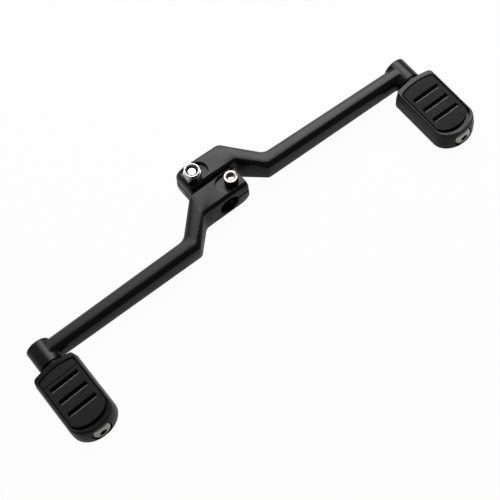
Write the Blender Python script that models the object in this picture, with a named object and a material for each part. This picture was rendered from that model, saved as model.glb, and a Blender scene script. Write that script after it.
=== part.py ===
"""Heel and toe shift lever for a cruiser motorcycle, in metres, +Z up.

Two like steel forgings clamp side by side on one splined shaft, which runs along Y through the
origin. The heel lever reaches towards +X and the toe lever, the same forging turned half a turn
about the shaft, towards -X. Both crank outboard, towards -Y, and each ends in a boss that carries
a foot peg: a cast casing with a rubber tread, held by one long screw.
"""

import math

import bmesh
import bpy
from mathutils import Matrix, Vector

# Clearance left between pieces that touch or that pass through one another
FIT_GAP = 0.0003

# Clamp end of a lever, along the shaft (width), up (height) and along the arm
CLAMP_WIDTH = 0.0185
CLAMP_HEIGHT = 0.0232
CLAMP_FREE_END = 0.0170
CLAMP_EDGE_SIZE = 0.0022
CLAMP_SPACING = 0.0009
NOSE_RADIUS_NUT_SIDE = 0.0080
NOSE_RADIUS_HEAD_SIDE = 0.0040
NOSE_RADIUS_SIDES = 0.0015
SPLINE_ROOT_RADIUS = 0.0079
SPLINE_DEPTH = 0.0006
SPLINE_TEETH = 36
SLIT_HEIGHT = 0.0018
SLIT_OFFSET = 0.0012
POCKET_DEPTH = 0.0027
POCKET_RADIUS = 0.0070
POCKET_ARC_CENTRE = 0.0044
SCREW_OFFSET = 0.0093

# Crank between the clamp and the arm: where its two edges start and end along the lever
CRANK_START_INBOARD = 0.0183
CRANK_START_OUTBOARD = 0.0205
CRANK_END_INBOARD = 0.0413
CRANK_END_OUTBOARD = 0.0356
CLAMP_BEND_INBOARD = 0.0040
CLAMP_BEND_OUTBOARD = 0.0060
ARM_BEND_INBOARD = 0.0090
ARM_BEND_OUTBOARD = 0.0045

# Arm, tapering slightly from the crank to the boss
ARM_LENGTH = 0.1576
ARM_OFFSET = 0.0195
ARM_WIDTH_AT_CRANK = 0.0120
ARM_WIDTH_AT_BOSS = 0.0114
ARM_HEIGHT_AT_CRANK = 0.0184
ARM_HEIGHT_AT_BOSS = 0.0162
ARM_EDGE_SIZE = 0.0033
ARM_DROOP = math.radians(1.83)

# How far each peg is turned on its own screw from square with its lever, its +X side upward
HEEL_PEG_ROLL = math.radians(2)
TOE_PEG_ROLL = math.radians(5)

# Boss at the arm's end, which carries the peg
BOSS_RADIUS = 0.0087
BOSS_LENGTH = 0.0170
BOSS_INBOARD_REACH = 0.0079
BOSS_EDGE = 0.0008

# Clamp screw, a quarter inch socket head cap screw, and its lock nut
SCREW_RADIUS = 0.003175
SCREW_END_BELOW_NUT_TOP = 0.0020
SCREW_HEAD_RADIUS = 0.00476
SCREW_HEAD_HEIGHT = 0.00635
SCREW_HEAD_EDGE = 0.0004
SCREW_TIP_CHAMFER = 0.0005
SCREW_SOCKET_ACROSS_FLATS = 0.00476
SCREW_SOCKET_DEPTH = 0.0030
NUT_ACROSS_FLATS = 0.0111
NUT_HEX_HEIGHT = 0.0054
NUT_HEIGHT = 0.0079
NUT_CHAMFER = 0.0008
NUT_COLLAR_RADIUS = 0.0054
NUT_COLLAR_EDGE = 0.0006
NUT_LIP_RADIUS = 0.00445
NUT_LIP_THICKNESS = 0.0004
INSERT_SEAT_RADIUS = 0.0049
INSERT_SEAT_DEPTH = 0.0026

# Foot peg: casing and its tread
PEG_WIDTH = 0.0330
PEG_LENGTH = 0.0558
PEG_TOP = 0.0080
PEG_BOTTOM = 0.0086
PEG_CROWN = 0.0022
PEG_CORNER = 0.0030
PEG_ROUND_END = 0.0125
PEG_TOP_EDGE = 0.0005
PEG_BOTTOM_EDGE = 0.0030
PEG_SIDE_LEAN = 0.0012
PEG_TIP_LEAN = 0.0016
PEG_UPRIGHT_TOP = 0.0010
PEG_SEAT_RADIUS = 0.0078
PEG_SEAT_DEPTH = 0.0005
RIM_AT_SIDES = 0.0012
RIM_AT_INNER_END = 0.0038
RIM_AT_OUTER_END = 0.0051
TREAD_ROUND_END = 0.0085
TREAD_CORNER = 0.0026
TREAD_GROOVE = 0.0007
TREAD_GROOVE_INNER_END = 0.0004
TREAD_GROOVE_OUTER_END = 0.0024
TREAD_RECESS = 0.0032
TREAD_BELOW_RIM = 0.0002
TREAD_EDGE = 0.0004
LEAST_CORNER = 0.0003
SLOT_COUNT = 3
SLOT_PITCH = 0.0100
SLOT_LENGTH = 0.0215
SLOT_WIDTH = 0.0029
SLOT_DEPTH = 0.0022
FIRST_SLOT_FROM_RIM = 0.0114

# Peg screw, an M8 with a domed socket head, and the washer between the peg and the boss
BOLT_RADIUS = 0.0040
BOLT_LENGTH = 0.0650
BOLT_TIP_CHAMFER = 0.0008
BOLT_HEAD_RADIUS = 0.0070
BOLT_HEAD_HEIGHT = 0.0038
BOLT_HEAD_SIDE = 0.0006
BOLT_FACE_RADIUS = 0.0034
BOLT_SOCKET_ACROSS_FLATS = 0.0050
BOLT_SOCKET_DEPTH = 0.0026
BOLT_FACE_BELOW_TIP = 0.0002
BOLT_RECESS_CLEARANCE = 0.00035
WASHER_RADIUS = 0.0074
WASHER_THICKNESS = 0.0015

# The forging's long edges lie between a round and a chamfer: 0 is an arc, 1 a flat chamfer
EDGE_FLATNESS = 0.75

# How finely round forms are divided
ROUND_SEGMENTS = 40
SMALL_ROUND_SEGMENTS = 32
FILLET_STEPS = 3
CORNER_STEPS = 4
NOSE_STEPS = 5
DOME_STEPS = 5
ARC_STEPS = 12
END_STEPS = 16
CUT_OVERRUN = 0.0020
SMOOTH_ANGLE = math.radians(40)

# Turns a body made along Z so that it runs outboard, towards -Y
ALONG_OUTBOARD = (math.pi / 2, 0, 0)

# Sizes that follow from the ones above
CLAMP_MIDDLE = (CLAMP_SPACING + CLAMP_WIDTH) / 2
POCKET_FLOOR = CLAMP_HEIGHT / 2 - POCKET_DEPTH
SCREW_LENGTH = 2 * (POCKET_FLOOR + FIT_GAP) + NUT_HEIGHT - SCREW_END_BELOW_NUT_TOP
BOSS_INBOARD = -ARM_OFFSET + BOSS_INBOARD_REACH
BOSS_OUTBOARD = BOSS_INBOARD - BOSS_LENGTH
WASHER_INBOARD = BOSS_OUTBOARD - FIT_GAP
PEG_SEAT = WASHER_INBOARD - WASHER_THICKNESS - FIT_GAP
PEG_INNER = PEG_SEAT + PEG_SEAT_DEPTH
PEG_TIP = PEG_INNER - PEG_LENGTH
TREAD_INNER = PEG_INNER - RIM_AT_INNER_END
TREAD_OUTER = PEG_TIP + RIM_AT_OUTER_END
TREAD_FLOOR = PEG_TOP - TREAD_RECESS
TREAD_TOP = PEG_TOP - TREAD_BELOW_RIM
BOLT_SEAT = PEG_TIP + BOLT_FACE_BELOW_TIP + BOLT_HEAD_HEIGHT + FIT_GAP


def clear_scene():
    for existing in list(bpy.data.objects):
        bpy.data.objects.remove(existing, do_unlink=True)


def finish(name, hex_colour, roughness, metallic):
    """A plain Principled material in the colour seen on the real piece."""
    material = bpy.data.materials.new(name)
    material.use_nodes = True
    shader = material.node_tree.nodes["Principled BSDF"]
    channels = [int(hex_colour[i:i + 2], 16) / 255 for i in (0, 2, 4)]
    linear = [c / 12.92 if c <= 0.04045 else ((c + 0.055) / 1.055) ** 2.4 for c in channels]
    shader.inputs["Base Color"].default_value = (*linear, 1.0)
    shader.inputs["Roughness"].default_value = roughness
    shader.inputs["Metallic"].default_value = metallic
    return material


def black_paint():
    return finish("gloss_black_paint", "0E0E10", 0.12, 0.0)


def bright_zinc():
    return finish("bright_zinc_steel", "C9C8C6", 0.22, 1.0)


def nylon():
    return finish("dark_nylon", "2A2840", 0.45, 0.0)


def casting_paint():
    return finish("satin_black_casting", "131315", 0.30, 0.0)


def rubber():
    return finish("black_rubber", "1A1A1B", 0.75, 0.0)


def black_steel():
    return finish("black_oxide_steel", "151516", 0.45, 1.0)


def empty(name, parent=None, location=(0, 0, 0), turn=0.0):
    """A frame that pieces hang on, turned about Y, the shaft's own direction."""
    frame = bpy.data.objects.new(name, None)
    bpy.context.collection.objects.link(frame)
    frame.parent = parent
    frame.location = location
    frame.rotation_euler = (0, turn, 0)
    return frame


def add_object(name, bm, material=None, parent=None, location=(0, 0, 0), turn=(0, 0, 0)):
    """Turns a bmesh into a placed, smooth shaded object with its normals outward."""
    bmesh.ops.recalc_face_normals(bm, faces=bm.faces)
    mesh = bpy.data.meshes.new(name)
    bm.to_mesh(mesh)
    bm.free()
    piece = bpy.data.objects.new(name, mesh)
    bpy.context.collection.objects.link(piece)
    piece.parent = parent
    piece.location = location
    piece.rotation_euler = turn
    if material:
        mesh.materials.append(material)
    mesh.shade_smooth()
    mesh.set_sharp_from_angle(angle=SMOOTH_ANGLE)
    return piece


def boolean(piece, other, operation):
    modifier = piece.modifiers.new(f"{operation.lower()} {other.name}", "BOOLEAN")
    modifier.object = other
    modifier.operation = operation
    modifier.solver = "EXACT"


def hide_tool(tool):
    tool.hide_render = True
    tool.display_type = "WIRE"
    return tool


def cut(piece, tool):
    boolean(piece, hide_tool(tool), "DIFFERENCE")


def bridge(bm, rings, closed=False):
    """Joins rings of equally many vertices with quads, one ring to the next."""
    pairs = list(zip(rings, rings[1:]))
    if closed:
        pairs.append((rings[-1], rings[0]))
    for first, second in pairs:
        count = len(first)
        for i in range(count):
            j = (i + 1) % count
            bm.faces.new((first[i], first[j], second[j], second[i]))


def turned(profile, segments, closed=False):
    """A body of revolution about Z from (radius, height) points. An open profile is capped."""
    bm = bmesh.new()
    rings = []
    for radius, height in profile:
        ring = []
        for i in range(segments):
            angle = 2 * math.pi * i / segments
            ring.append(bm.verts.new((radius * math.cos(angle), radius * math.sin(angle), height)))
        rings.append(ring)
    bridge(bm, rings, closed)
    if not closed:
        bm.faces.new(rings[0])
        bm.faces.new(rings[-1])
    return bm


def prism(outline, bottom, top):
    """A straight body with the given plan outline, from height bottom to height top."""
    bm = bmesh.new()
    lower = [bm.verts.new((x, y, bottom)) for x, y in outline]
    upper = [bm.verts.new((x, y, top)) for x, y in outline]
    bridge(bm, [lower, upper])
    bm.faces.new(lower)
    bm.faces.new(upper)
    return bm


def rectangle(x_low, x_high, y_low, y_high):
    return [(x_low, y_low), (x_high, y_low), (x_high, y_high), (x_low, y_high)]


def hexagon(across_flats):
    radius = across_flats / math.sqrt(3)
    return [(radius * math.cos(math.pi * k / 3), radius * math.sin(math.pi * k / 3)) for k in range(6)]


def rounded_corner(before, corner, after, radius):
    """Points along the arc that rounds a corner, tangent to both of its sides."""
    before, corner, after = Vector(before), Vector(corner), Vector(after)
    to_before = (before - corner).normalized()
    to_after = (after - corner).normalized()
    half_angle = to_before.angle(to_after) / 2
    centre = corner + (to_before + to_after).normalized() * radius / math.sin(half_angle)
    tangent = radius / math.tan(half_angle)
    start = corner + to_before * tangent - centre
    end = corner + to_after * tangent - centre
    sweep = start.angle_signed(end)
    points = []
    for step in range(CORNER_STEPS + 1):
        points.append(centre + Matrix.Rotation(-sweep * step / CORNER_STEPS, 2) @ start)
    return points


def arm_width(along):
    share = (along - CRANK_END_INBOARD) / (ARM_LENGTH - CRANK_END_INBOARD)
    return ARM_WIDTH_AT_CRANK + (ARM_WIDTH_AT_BOSS - ARM_WIDTH_AT_CRANK) * share


def lever_edge(side, crank_start, crank_end, bends):
    """The plan points of one edge of a lever from the clamp to the boss, side being 1 inboard."""
    clamp_edge = side * CLAMP_WIDTH / 2
    points = [
        (0.0, clamp_edge),
        (crank_start, clamp_edge),
        (crank_end, -ARM_OFFSET + side * arm_width(crank_end) / 2),
        (ARM_LENGTH, -ARM_OFFSET + side * arm_width(ARM_LENGTH) / 2),
    ]
    first = rounded_corner(points[0], points[1], points[2], bends[0])
    second = rounded_corner(points[1], points[2], points[3], bends[1])
    return first, second, Vector(points[3])


def edge_profile(reach):
    """Draws an arc's sine or cosine in towards the chamfer between the arc's two ends."""
    return (1 - EDGE_FLATNESS) * reach + EDGE_FLATNESS * reach * abs(reach)


def section(bm, inboard, outboard, top, bottom, radius):
    """A ring of vertices: a soft cornered rectangle standing on the line between two plan points."""
    middle = (inboard + outboard) / 2
    half = (inboard - outboard) / 2
    corner = min(radius, (top - bottom) / 2)
    share = corner / half.length
    ring = []
    centres = ((1, 1, 0), (-1, 1, 1), (-1, -1, 2), (1, -1, 3))
    for sign_y, sign_z, quarter in centres:
        level = top - corner if sign_z > 0 else bottom + corner
        for step in range(FILLET_STEPS + 1):
            angle = math.pi / 2 * (quarter + step / FILLET_STEPS)
            place = sign_y * (1 - share) + share * edge_profile(math.cos(angle))
            point = middle + half * place
            height = level + corner * edge_profile(math.sin(angle))
            ring.append(bm.verts.new((point.x, point.y, height)))
    return ring


def nose_drop(distance, radius):
    """How far a rounded nose falls short of the full size at a distance from its tip."""
    if distance >= radius:
        return 0.0
    return radius - math.sqrt(radius ** 2 - (radius - distance) ** 2)


def lever_body():
    """The forging's outer form: clamp block with its rounded nose, crank and tapering arm."""
    bm = bmesh.new()
    half_height = CLAMP_HEIGHT / 2
    rings = []
    for step in range(NOSE_STEPS + 1):
        angle = math.pi / 2 * step / NOSE_STEPS
        distance = NOSE_RADIUS_NUT_SIDE * (1 - math.cos(angle))
        half_width = CLAMP_WIDTH / 2 - nose_drop(distance, NOSE_RADIUS_SIDES)
        along = -CLAMP_FREE_END + distance
        top = half_height - nose_drop(distance, NOSE_RADIUS_NUT_SIDE)
        bottom = -half_height + nose_drop(distance, NOSE_RADIUS_HEAD_SIDE)
        inboard = Vector((along, half_width))
        outboard = Vector((along, -half_width))
        rings.append(section(bm, inboard, outboard, top, bottom, CLAMP_EDGE_SIZE))
    inboard_bends = (CLAMP_BEND_INBOARD, ARM_BEND_INBOARD)
    outboard_bends = (CLAMP_BEND_OUTBOARD, ARM_BEND_OUTBOARD)
    inboard_edge = lever_edge(1, CRANK_START_INBOARD, CRANK_END_INBOARD, inboard_bends)
    outboard_edge = lever_edge(-1, CRANK_START_OUTBOARD, CRANK_END_OUTBOARD, outboard_bends)
    half_arm = ARM_HEIGHT_AT_CRANK / 2
    for inboard, outboard in zip(inboard_edge[0], outboard_edge[0]):
        rings.append(section(bm, inboard, outboard, half_height, -half_height, CLAMP_EDGE_SIZE))
    for inboard, outboard in zip(inboard_edge[1], outboard_edge[1]):
        rings.append(section(bm, inboard, outboard, half_arm, -half_arm, ARM_EDGE_SIZE))
    half_end = ARM_HEIGHT_AT_BOSS / 2
    rings.append(section(bm, inboard_edge[2], outboard_edge[2], half_end, -half_end, ARM_EDGE_SIZE))
    bridge(bm, rings)
    bm.faces.new(rings[0])
    bm.faces.new(rings[-1])
    return bm


def boss_body():
    """The boss as a turned drum, its inboard face at height zero."""
    profile = [
        (BOSS_RADIUS - BOSS_EDGE, 0.0),
        (BOSS_RADIUS, BOSS_EDGE),
        (BOSS_RADIUS, BOSS_LENGTH),
    ]
    return turned(profile, ROUND_SEGMENTS)


def spline_cutter():
    """A serrated bar as long as the clamp is wide, which leaves the internal serrations."""
    outline = []
    for tooth in range(2 * SPLINE_TEETH):
        radius = SPLINE_ROOT_RADIUS - SPLINE_DEPTH * (tooth % 2)
        angle = math.pi * tooth / SPLINE_TEETH
        outline.append((radius * math.cos(angle), radius * math.sin(angle)))
    reach = CLAMP_WIDTH / 2 + CUT_OVERRUN
    return prism(outline, -reach, reach)


def round_hole(radius, bottom, top):
    return turned([(radius, bottom), (radius, top)], SMALL_ROUND_SEGMENTS)


def pocket_cutter(side):
    """The flat-bottomed pocket round the screw, open at the free end, in the face on one side."""
    outline = []
    for step in range(ARC_STEPS + 1):
        angle = math.pi * (0.5 - step / ARC_STEPS)
        x = -POCKET_ARC_CENTRE + POCKET_RADIUS * math.cos(angle)
        outline.append((x, POCKET_RADIUS * math.sin(angle)))
    outline.append((-CLAMP_FREE_END - CUT_OVERRUN, -POCKET_RADIUS))
    outline.append((-CLAMP_FREE_END - CUT_OVERRUN, POCKET_RADIUS))
    levels = sorted((side * POCKET_FLOOR, side * (CLAMP_HEIGHT / 2 + CUT_OVERRUN)))
    return prism(outline, *levels)


def lever(name, frame):
    """One forging with its boss joined on and its bore, slit, pockets and holes cut."""
    body = add_object(name, lever_body(), black_paint(), frame)
    boss_place = (ARM_LENGTH, BOSS_INBOARD, 0)
    boss = add_object(f"{name} boss", boss_body(), None, frame, boss_place, ALONG_OUTBOARD)
    boolean(body, hide_tool(boss), "UNION")
    cut(body, add_object(f"{name} spline", spline_cutter(), None, frame, turn=ALONG_OUTBOARD))
    slit_outline = rectangle(-CLAMP_FREE_END - CUT_OVERRUN, 0.0, -CLAMP_WIDTH, CLAMP_WIDTH)
    slit = prism(slit_outline, -SLIT_OFFSET - SLIT_HEIGHT / 2, -SLIT_OFFSET + SLIT_HEIGHT / 2)
    cut(body, add_object(f"{name} slit", slit, None, frame))
    for side in (1, -1):
        cut(body, add_object(f"{name} pocket {side}", pocket_cutter(side), None, frame))
    screw_hole = round_hole(SCREW_RADIUS + FIT_GAP, -CLAMP_HEIGHT, CLAMP_HEIGHT)
    cut(body, add_object(f"{name} screw hole", screw_hole, None, frame, (-SCREW_OFFSET, 0, 0)))
    peg_hole = round_hole(BOLT_RADIUS + FIT_GAP, -CUT_OVERRUN, BOSS_LENGTH + CUT_OVERRUN)
    cut(body, add_object(f"{name} peg hole", peg_hole, None, frame, boss_place, ALONG_OUTBOARD))
    return body


def clamp_screw(name, frame):
    """A socket head cap screw standing head down in the head-side pocket."""
    seat = -POCKET_FLOOR - FIT_GAP
    profile = [
        (SCREW_HEAD_RADIUS - SCREW_HEAD_EDGE, -SCREW_HEAD_HEIGHT),
        (SCREW_HEAD_RADIUS, SCREW_HEAD_EDGE - SCREW_HEAD_HEIGHT),
        (SCREW_HEAD_RADIUS, 0.0),
        (SCREW_RADIUS, 0.0),
        (SCREW_RADIUS, SCREW_LENGTH - SCREW_TIP_CHAMFER),
        (SCREW_RADIUS - SCREW_TIP_CHAMFER, SCREW_LENGTH),
    ]
    place = (-SCREW_OFFSET, 0, seat)
    screw = add_object(name, turned(profile, SMALL_ROUND_SEGMENTS), bright_zinc(), frame, place)
    socket = prism(hexagon(SCREW_SOCKET_ACROSS_FLATS), -SCREW_HEAD_HEIGHT - CUT_OVERRUN,
                   SCREW_SOCKET_DEPTH - SCREW_HEAD_HEIGHT)
    cut(screw, add_object(f"{name} socket", socket, None, frame, place))
    return screw


def lock_nut(name, frame):
    """The nut's steel body: a chamfered hexagon with the round collar that holds the insert."""
    corner = NUT_ACROSS_FLATS / math.sqrt(3)
    bore = SCREW_RADIUS + FIT_GAP
    shoulder = NUT_HEIGHT - INSERT_SEAT_DEPTH
    chamfered = [
        (corner - NUT_CHAMFER, 0.0),
        (corner + FIT_GAP, NUT_CHAMFER / 2),
        (corner + FIT_GAP, NUT_HEX_HEIGHT - NUT_CHAMFER / 2),
        (corner - NUT_CHAMFER, NUT_HEX_HEIGHT),
        (NUT_COLLAR_RADIUS, NUT_HEX_HEIGHT),
        (NUT_COLLAR_RADIUS, NUT_HEIGHT - NUT_COLLAR_EDGE),
        (NUT_COLLAR_RADIUS - NUT_COLLAR_EDGE, NUT_HEIGHT),
        (NUT_LIP_RADIUS, NUT_HEIGHT),
        (NUT_LIP_RADIUS, NUT_HEIGHT - NUT_LIP_THICKNESS),
        (INSERT_SEAT_RADIUS, NUT_HEIGHT - NUT_LIP_THICKNESS),
        (INSERT_SEAT_RADIUS, shoulder),
        (bore, shoulder),
        (bore, 0.0),
    ]
    place = (-SCREW_OFFSET, 0, POCKET_FLOOR + FIT_GAP)
    bm = turned(chamfered, SMALL_ROUND_SEGMENTS, closed=True)
    nut = add_object(name, bm, bright_zinc(), frame, place)
    blank = prism(hexagon(NUT_ACROSS_FLATS), -CUT_OVERRUN, NUT_HEIGHT + CUT_OVERRUN)
    boolean(nut, hide_tool(add_object(f"{name} hexagon", blank, None, frame, place)), "INTERSECT")
    return nut


def nut_insert(name, frame):
    """The nylon ring under the collar's lip."""
    bore = SCREW_RADIUS + FIT_GAP
    outside = INSERT_SEAT_RADIUS - FIT_GAP
    bottom = NUT_HEIGHT - INSERT_SEAT_DEPTH + FIT_GAP
    top = NUT_HEIGHT - NUT_LIP_THICKNESS - FIT_GAP
    profile = [(bore, bottom), (outside, bottom), (outside, top), (bore, top)]
    place = (-SCREW_OFFSET, 0, POCKET_FLOOR + FIT_GAP)
    bm = turned(profile, SMALL_ROUND_SEGMENTS, closed=True)
    return add_object(name, bm, nylon(), frame, place)


def peg_outline(half_width, inner, outer, round_end, corner):
    """Plan of a peg or its tread: shallow arc inboard, straight sides, half-round outer end."""
    crown_radius = (half_width ** 2 + PEG_CROWN ** 2) / (2 * PEG_CROWN)
    across = half_width - corner
    along = math.sqrt((crown_radius - corner) ** 2 - across ** 2)
    turn = math.atan2(along, across)
    crown_centre = inner - crown_radius
    corner_level = crown_centre + along
    points = []
    for step in range(CORNER_STEPS):
        angle = turn * step / CORNER_STEPS
        points.append((across + corner * math.cos(angle), corner_level + corner * math.sin(angle)))
    for step in range(ARC_STEPS + 1):
        angle = turn + (math.pi - 2 * turn) * step / ARC_STEPS
        points.append((crown_radius * math.cos(angle), crown_centre + crown_radius * math.sin(angle)))
    for step in range(1, CORNER_STEPS + 1):
        angle = math.pi - turn * (1 - step / CORNER_STEPS)
        points.append((-across + corner * math.cos(angle), corner_level + corner * math.sin(angle)))
    for step in range(END_STEPS + 1):
        angle = math.pi * (1 + step / END_STEPS)
        points.append((half_width * math.cos(angle), outer + round_end * (1 + math.sin(angle))))
    return points


def casing_outline(inset, side_lean, tip_lean):
    corner = max(PEG_CORNER - inset, LEAST_CORNER)
    return peg_outline(PEG_WIDTH / 2 - side_lean - inset, PEG_INNER - inset, PEG_TIP + tip_lean + inset,
                       PEG_ROUND_END - inset, corner)


def tread_outline(inset, inner_inset, outer_inset):
    half_width = PEG_WIDTH / 2 - PEG_SIDE_LEAN - RIM_AT_SIDES - inset
    corner = max(TREAD_CORNER - inset, LEAST_CORNER)
    return peg_outline(half_width, TREAD_INNER - inner_inset, TREAD_OUTER + outer_inset,
                       TREAD_ROUND_END - inset, corner)


def stacked(levels):
    """A body through outlines of equally many points, each at its own height."""
    bm = bmesh.new()
    rings = []
    for height, outline in levels:
        rings.append([bm.verts.new((x, y, height)) for x, y in outline])
    bridge(bm, rings)
    bm.faces.new(rings[0])
    bm.faces.new(rings[-1])
    return bm


def casing_body():
    """The casing's outside: a rounded lower edge, then sides and a tip that lean in to the rim."""
    levels = []
    for step in range(FILLET_STEPS + 1):
        angle = math.pi / 2 * step / FILLET_STEPS
        height = -PEG_BOTTOM + PEG_BOTTOM_EDGE * (1 - math.cos(angle))
        levels.append((height, casing_outline(PEG_BOTTOM_EDGE * (1 - math.sin(angle)), 0.0, 0.0)))
    levels.append((PEG_UPRIGHT_TOP, casing_outline(0.0, 0.0, 0.0)))
    levels.append((PEG_TOP - PEG_TOP_EDGE, casing_outline(0.0, PEG_SIDE_LEAN, PEG_TIP_LEAN)))
    levels.append((PEG_TOP, casing_outline(PEG_TOP_EDGE, PEG_SIDE_LEAN, PEG_TIP_LEAN)))
    return stacked(levels)


def peg_casing(name, frame):
    """The cast casing, with the tread's recess and the screw's hole, head seat and washer seat."""
    casing = add_object(name, casing_body(), casting_paint(), frame)
    recess = prism(tread_outline(0.0, 0.0, 0.0), TREAD_FLOOR, PEG_TOP + CUT_OVERRUN)
    cut(casing, add_object(f"{name} recess", recess, None, frame))
    head_space = BOLT_HEAD_RADIUS + BOLT_RECESS_CLEARANCE
    hole_profile = [
        (PEG_SEAT_RADIUS, -CUT_OVERRUN),
        (PEG_SEAT_RADIUS, 0.0),
        (BOLT_RADIUS + FIT_GAP, 0.0),
        (BOLT_RADIUS + FIT_GAP, PEG_SEAT - BOLT_SEAT),
        (head_space, PEG_SEAT - BOLT_SEAT),
        (head_space, PEG_SEAT - PEG_TIP + CUT_OVERRUN),
    ]
    hole = turned(hole_profile, ROUND_SEGMENTS)
    cut(casing, add_object(f"{name} hole", hole, None, frame, (0, PEG_SEAT, 0), ALONG_OUTBOARD))
    return casing


def peg_tread(name, frame):
    """The rubber tread lying in the recess, with its cross slots."""
    upright = tread_outline(TREAD_GROOVE, TREAD_GROOVE_INNER_END, TREAD_GROOVE_OUTER_END)
    face = tread_outline(TREAD_GROOVE + TREAD_EDGE, TREAD_GROOVE_INNER_END + TREAD_EDGE,
                         TREAD_GROOVE_OUTER_END + TREAD_EDGE)
    levels = [
        (TREAD_FLOOR + FIT_GAP, upright),
        (TREAD_TOP - TREAD_EDGE, upright),
        (TREAD_TOP, face),
    ]
    tread = add_object(name, stacked(levels), rubber(), frame)
    for index in range(SLOT_COUNT):
        middle = TREAD_INNER - FIRST_SLOT_FROM_RIM - index * SLOT_PITCH
        near = middle + SLOT_WIDTH / 2
        far = middle - SLOT_WIDTH / 2
        outline = rectangle(-SLOT_LENGTH / 2, SLOT_LENGTH / 2, far, near)
        slot = prism(outline, TREAD_TOP - SLOT_DEPTH, TREAD_TOP + CUT_OVERRUN)
        cut(tread, add_object(f"{name} slot {index + 1}", slot, None, frame))
    return tread


def peg_bolt(name, frame):
    """The button head screw, its shank running inboard from under the domed head."""
    profile = [
        (BOLT_RADIUS - BOLT_TIP_CHAMFER, -BOLT_LENGTH),
        (BOLT_RADIUS, BOLT_TIP_CHAMFER - BOLT_LENGTH),
        (BOLT_RADIUS, 0.0),
        (BOLT_HEAD_RADIUS, 0.0),
    ]
    for step in range(DOME_STEPS + 1):
        angle = math.pi / 2 * step / DOME_STEPS
        radius = BOLT_FACE_RADIUS + (BOLT_HEAD_RADIUS - BOLT_FACE_RADIUS) * math.cos(angle)
        height = BOLT_HEAD_SIDE + (BOLT_HEAD_HEIGHT - BOLT_HEAD_SIDE) * math.sin(angle)
        profile.append((radius, height))
    place = (0, BOLT_SEAT - FIT_GAP, 0)
    bm = turned(profile, SMALL_ROUND_SEGMENTS)
    bolt = add_object(name, bm, bright_zinc(), frame, place, ALONG_OUTBOARD)
    socket = prism(hexagon(BOLT_SOCKET_ACROSS_FLATS), BOLT_HEAD_HEIGHT - BOLT_SOCKET_DEPTH,
                   BOLT_HEAD_HEIGHT + CUT_OVERRUN)
    cut(bolt, add_object(f"{name} socket", socket, None, frame, place, ALONG_OUTBOARD))
    return bolt


def peg_washer(name, frame):
    """The plain washer between the boss and the peg."""
    bore = BOLT_RADIUS + FIT_GAP
    profile = [
        (bore, 0.0),
        (WASHER_RADIUS, 0.0),
        (WASHER_RADIUS, WASHER_THICKNESS),
        (bore, WASHER_THICKNESS),
    ]
    bm = turned(profile, SMALL_ROUND_SEGMENTS, closed=True)
    return add_object(name, bm, black_steel(), frame, (0, WASHER_INBOARD, 0), ALONG_OUTBOARD)


def build_side(side, clamp_middle, turn, peg_turn):
    """One lever with its screw, nut and peg. The peg turns on its own screw so its tread faces up."""
    frame = empty(f"{side}_side", None, (0, clamp_middle, 0), turn)
    lever(f"{side}_lever", frame)
    clamp_screw(f"{side}_clamp_screw", frame)
    lock_nut(f"{side}_lock_nut", frame)
    nut_insert(f"{side}_nut_insert", frame)
    peg_frame = empty(f"{side}_peg_axis", frame, (ARM_LENGTH, 0, 0), peg_turn)
    peg_casing(f"{side}_peg_casing", peg_frame)
    peg_tread(f"{side}_peg_pad", peg_frame)
    peg_bolt(f"{side}_peg_bolt", peg_frame)
    peg_washer(f"{side}_peg_washer", peg_frame)


clear_scene()
build_side("heel", CLAMP_MIDDLE, ARM_DROOP, -HEEL_PEG_ROLL)
build_side("toe", -CLAMP_MIDDLE, math.pi - ARM_DROOP, math.pi - TOE_PEG_ROLL)
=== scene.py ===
"""Heel and toe shift lever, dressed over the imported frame: painted forgings, plated screws and
nuts, and foot pegs with rubber treads, on a white studio floor. Lengths are in metres."""

import math

import bmesh
import bpy
from mathutils import Matrix, Vector


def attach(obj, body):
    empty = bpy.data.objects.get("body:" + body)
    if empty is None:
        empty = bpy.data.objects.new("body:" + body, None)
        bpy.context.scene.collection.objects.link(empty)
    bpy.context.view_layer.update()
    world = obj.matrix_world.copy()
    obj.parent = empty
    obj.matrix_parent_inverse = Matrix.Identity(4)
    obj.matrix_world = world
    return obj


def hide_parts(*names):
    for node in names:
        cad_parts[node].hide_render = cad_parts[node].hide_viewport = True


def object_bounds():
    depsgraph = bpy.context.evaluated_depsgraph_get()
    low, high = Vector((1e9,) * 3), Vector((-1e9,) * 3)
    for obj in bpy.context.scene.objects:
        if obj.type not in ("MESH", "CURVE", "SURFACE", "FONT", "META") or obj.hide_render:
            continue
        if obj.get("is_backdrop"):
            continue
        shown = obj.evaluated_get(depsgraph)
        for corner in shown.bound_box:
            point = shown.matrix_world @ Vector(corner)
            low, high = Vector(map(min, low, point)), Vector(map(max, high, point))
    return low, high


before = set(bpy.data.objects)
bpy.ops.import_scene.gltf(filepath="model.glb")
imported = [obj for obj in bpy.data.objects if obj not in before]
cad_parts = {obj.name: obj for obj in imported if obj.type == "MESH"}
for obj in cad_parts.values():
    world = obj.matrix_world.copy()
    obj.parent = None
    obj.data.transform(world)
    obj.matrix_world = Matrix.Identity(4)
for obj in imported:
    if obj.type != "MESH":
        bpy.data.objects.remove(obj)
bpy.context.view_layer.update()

bpy.ops.object.select_all(action="DESELECT")


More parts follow.
